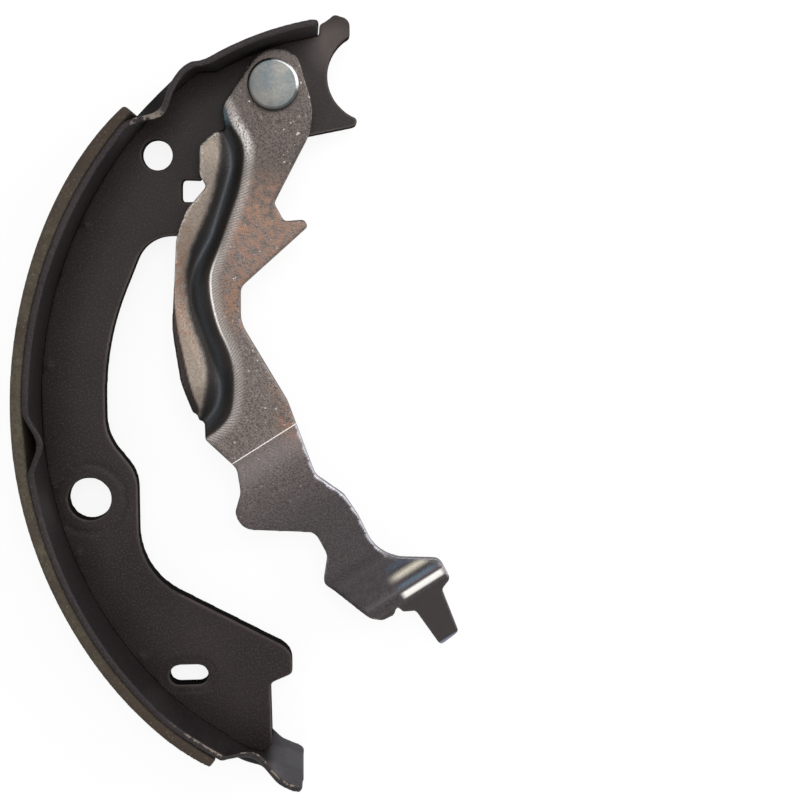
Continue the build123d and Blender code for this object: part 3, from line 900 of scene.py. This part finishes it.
dents = add_node(
    blue_zinc, "ShaderNodeBump", {"Height": scuffs.outputs["Fac"], "Strength": 0.2, "Distance": 0.05 * MM}
)
blue_zinc.node_tree.links.new(pin_colour, pin_shader.inputs["Base Color"])
blue_zinc.node_tree.links.new(pin_gloss.outputs[0], pin_shader.inputs["Roughness"])
blue_zinc.node_tree.links.new(dents.outputs[0], pin_shader.inputs["Normal"])
finish_piece(pin, "shoe", blue_zinc, "pivot_pin")
nodes["spacer_washer"].data.materials.clear()
nodes["spacer_washer"].data.materials.append(blue_zinc)
print("stains", STAIN / MM, "mm, scuffs", SCUFF / MM, "mm")

# %% [markdown]
# ## Retaining ring: phosphated spring steel
# The ring is stamped from spring steel and phosphated, a dark grey that is matt from its fine
# crystals. Its solid is right as it is, so it only gets the finish.

# %% Ring finish
PHOSPHATE_CRYSTAL = 0.4 * MM
phosphate, ring_shader, ring_place = new_material("phosphated_spring_steel", Metallic=0.6, Roughness=0.55)
ring_crystals = add_node(
    phosphate, "ShaderNodeTexNoise", {"Vector": ring_place, "Scale": 1 / PHOSPHATE_CRYSTAL, "Detail": 2.0}
)
ring_colour = lay_colours(phosphate, hex_colour("#2e2f31"), ("#565759", ring_crystals.outputs["Fac"]))
phosphate.node_tree.links.new(ring_colour, ring_shader.inputs["Base Color"])
nodes["retaining_ring"].data.materials.clear()
nodes["retaining_ring"].data.materials.append(phosphate)
print("phosphate crystals", PHOSPHATE_CRYSTAL / MM, "mm")

# %% [markdown]
# ## Floor and world
# The shoe lies on a white table in an even pale surround. Both have to look white without lighting
# the shoe any more than a plain room would. So they shine for those rays alone that show them to
# the eye, straight, in a reflection or through glass. The floor keeps a faint shadow under the
# shoe, because a share of it stays an ordinary matt surface.

# %% Floor
FLOOR_SIZE = 4.0
FLOOR_GLOW, GLOW_SHARE = 1.03, 0.85
WHITE = hex_colour("#ffffff")


def shows_to_the_eye(owner):
    """1 for rays from the camera, from a reflection or through glass, and 0 for rays that only light."""
    rays = add_node(owner, "ShaderNodeLightPath").outputs
    share = rays["Is Camera Ray"]
    for kind in ("Is Glossy Ray", "Is Transmission Ray"):
        share = add_node(owner, "ShaderNodeMath", {0: share, 1: rays[kind]}, operation="MAXIMUM").outputs[0]
    return share


bpy.ops.object.select_all(action="DESELECT")
bpy.ops.mesh.primitive_plane_add(size=FLOOR_SIZE, location=(0, 0, cad_low[2]))
ground = bpy.context.active_object
ground.name = "ground"
white_table = bpy.data.materials.new("white_table")
white_table.use_nodes = True
white_table.node_tree.nodes.clear()
glow_share = add_node(
    white_table, "ShaderNodeMath", {0: shows_to_the_eye(white_table), 1: GLOW_SHARE}, operation="MULTIPLY"
)
matt = add_node(white_table, "ShaderNodeBsdfDiffuse", {"Color": WHITE})
glow = add_node(white_table, "ShaderNodeEmission", {"Color": WHITE, "Strength": FLOOR_GLOW})
table_top = add_node(
    white_table, "ShaderNodeMixShader", {0: glow_share.outputs[0], 1: matt.outputs[0], 2: glow.outputs[0]}
)
add_node(white_table, "ShaderNodeOutputMaterial", {"Surface": table_top.outputs[0]})
ground.data.materials.append(white_table)
print("floor at", round(cad_low[2] / MM, 2), "mm")

# %% [markdown]
# The world does the same as the floor: the shoe gets a dim even light from it, while the eye sees
# white.

# %% World
ROOM_LIGHT, ROOM_SEEN = 0.6, 1.0

world = bpy.data.worlds.new("pale_surround")
bpy.context.scene.world = world
world.use_nodes = True
world.node_tree.nodes.clear()
level = add_node(
    world, "ShaderNodeMapRange", {"Value": shows_to_the_eye(world), "To Min": ROOM_LIGHT, "To Max": ROOM_SEEN}
)
sky = add_node(world, "ShaderNodeBackground", {"Color": WHITE, "Strength": level.outputs[0]})
add_node(world, "ShaderNodeOutputWorld", {"Surface": sky.outputs[0]})
print("room light", ROOM_LIGHT)

# %% [markdown]
# ## Lamps
# A large soft lamp above and a little behind the lens lights the faces, and a smaller one from the
# right picks out the lever's bends.

# %% Lamps
def soft_lamp(name, place, turn, width, watts):
    """A square area lamp."""
    lamp_data = bpy.data.lights.new(name, "AREA")
    lamp_data.size = width
    lamp_data.energy = watts
    lamp = bpy.data.objects.new(name, lamp_data)
    lamp.location = place
    lamp.rotation_euler = turn
    bpy.context.scene.collection.objects.link(lamp)
    print(name, watts, "W")


soft_lamp(
    "key_lamp", place=(0.02, 0.22, 0.72), turn=(radians(-17), radians(5), 0), width=0.35, watts=1.7
)
soft_lamp(
    "side_lamp", place=(0.45, 0.25, 0.35), turn=(radians(-20), radians(50), 0), width=0.3, watts=1.2
)

# %% [markdown]
# ## The end
# The view layer is brought up to date, and the view transform is set to Standard. The finished
# pieces must not reach past the solids that they stand for.

# %% The end
bpy.context.view_layer.update()
bpy.context.scene.view_settings.view_transform = "Standard"
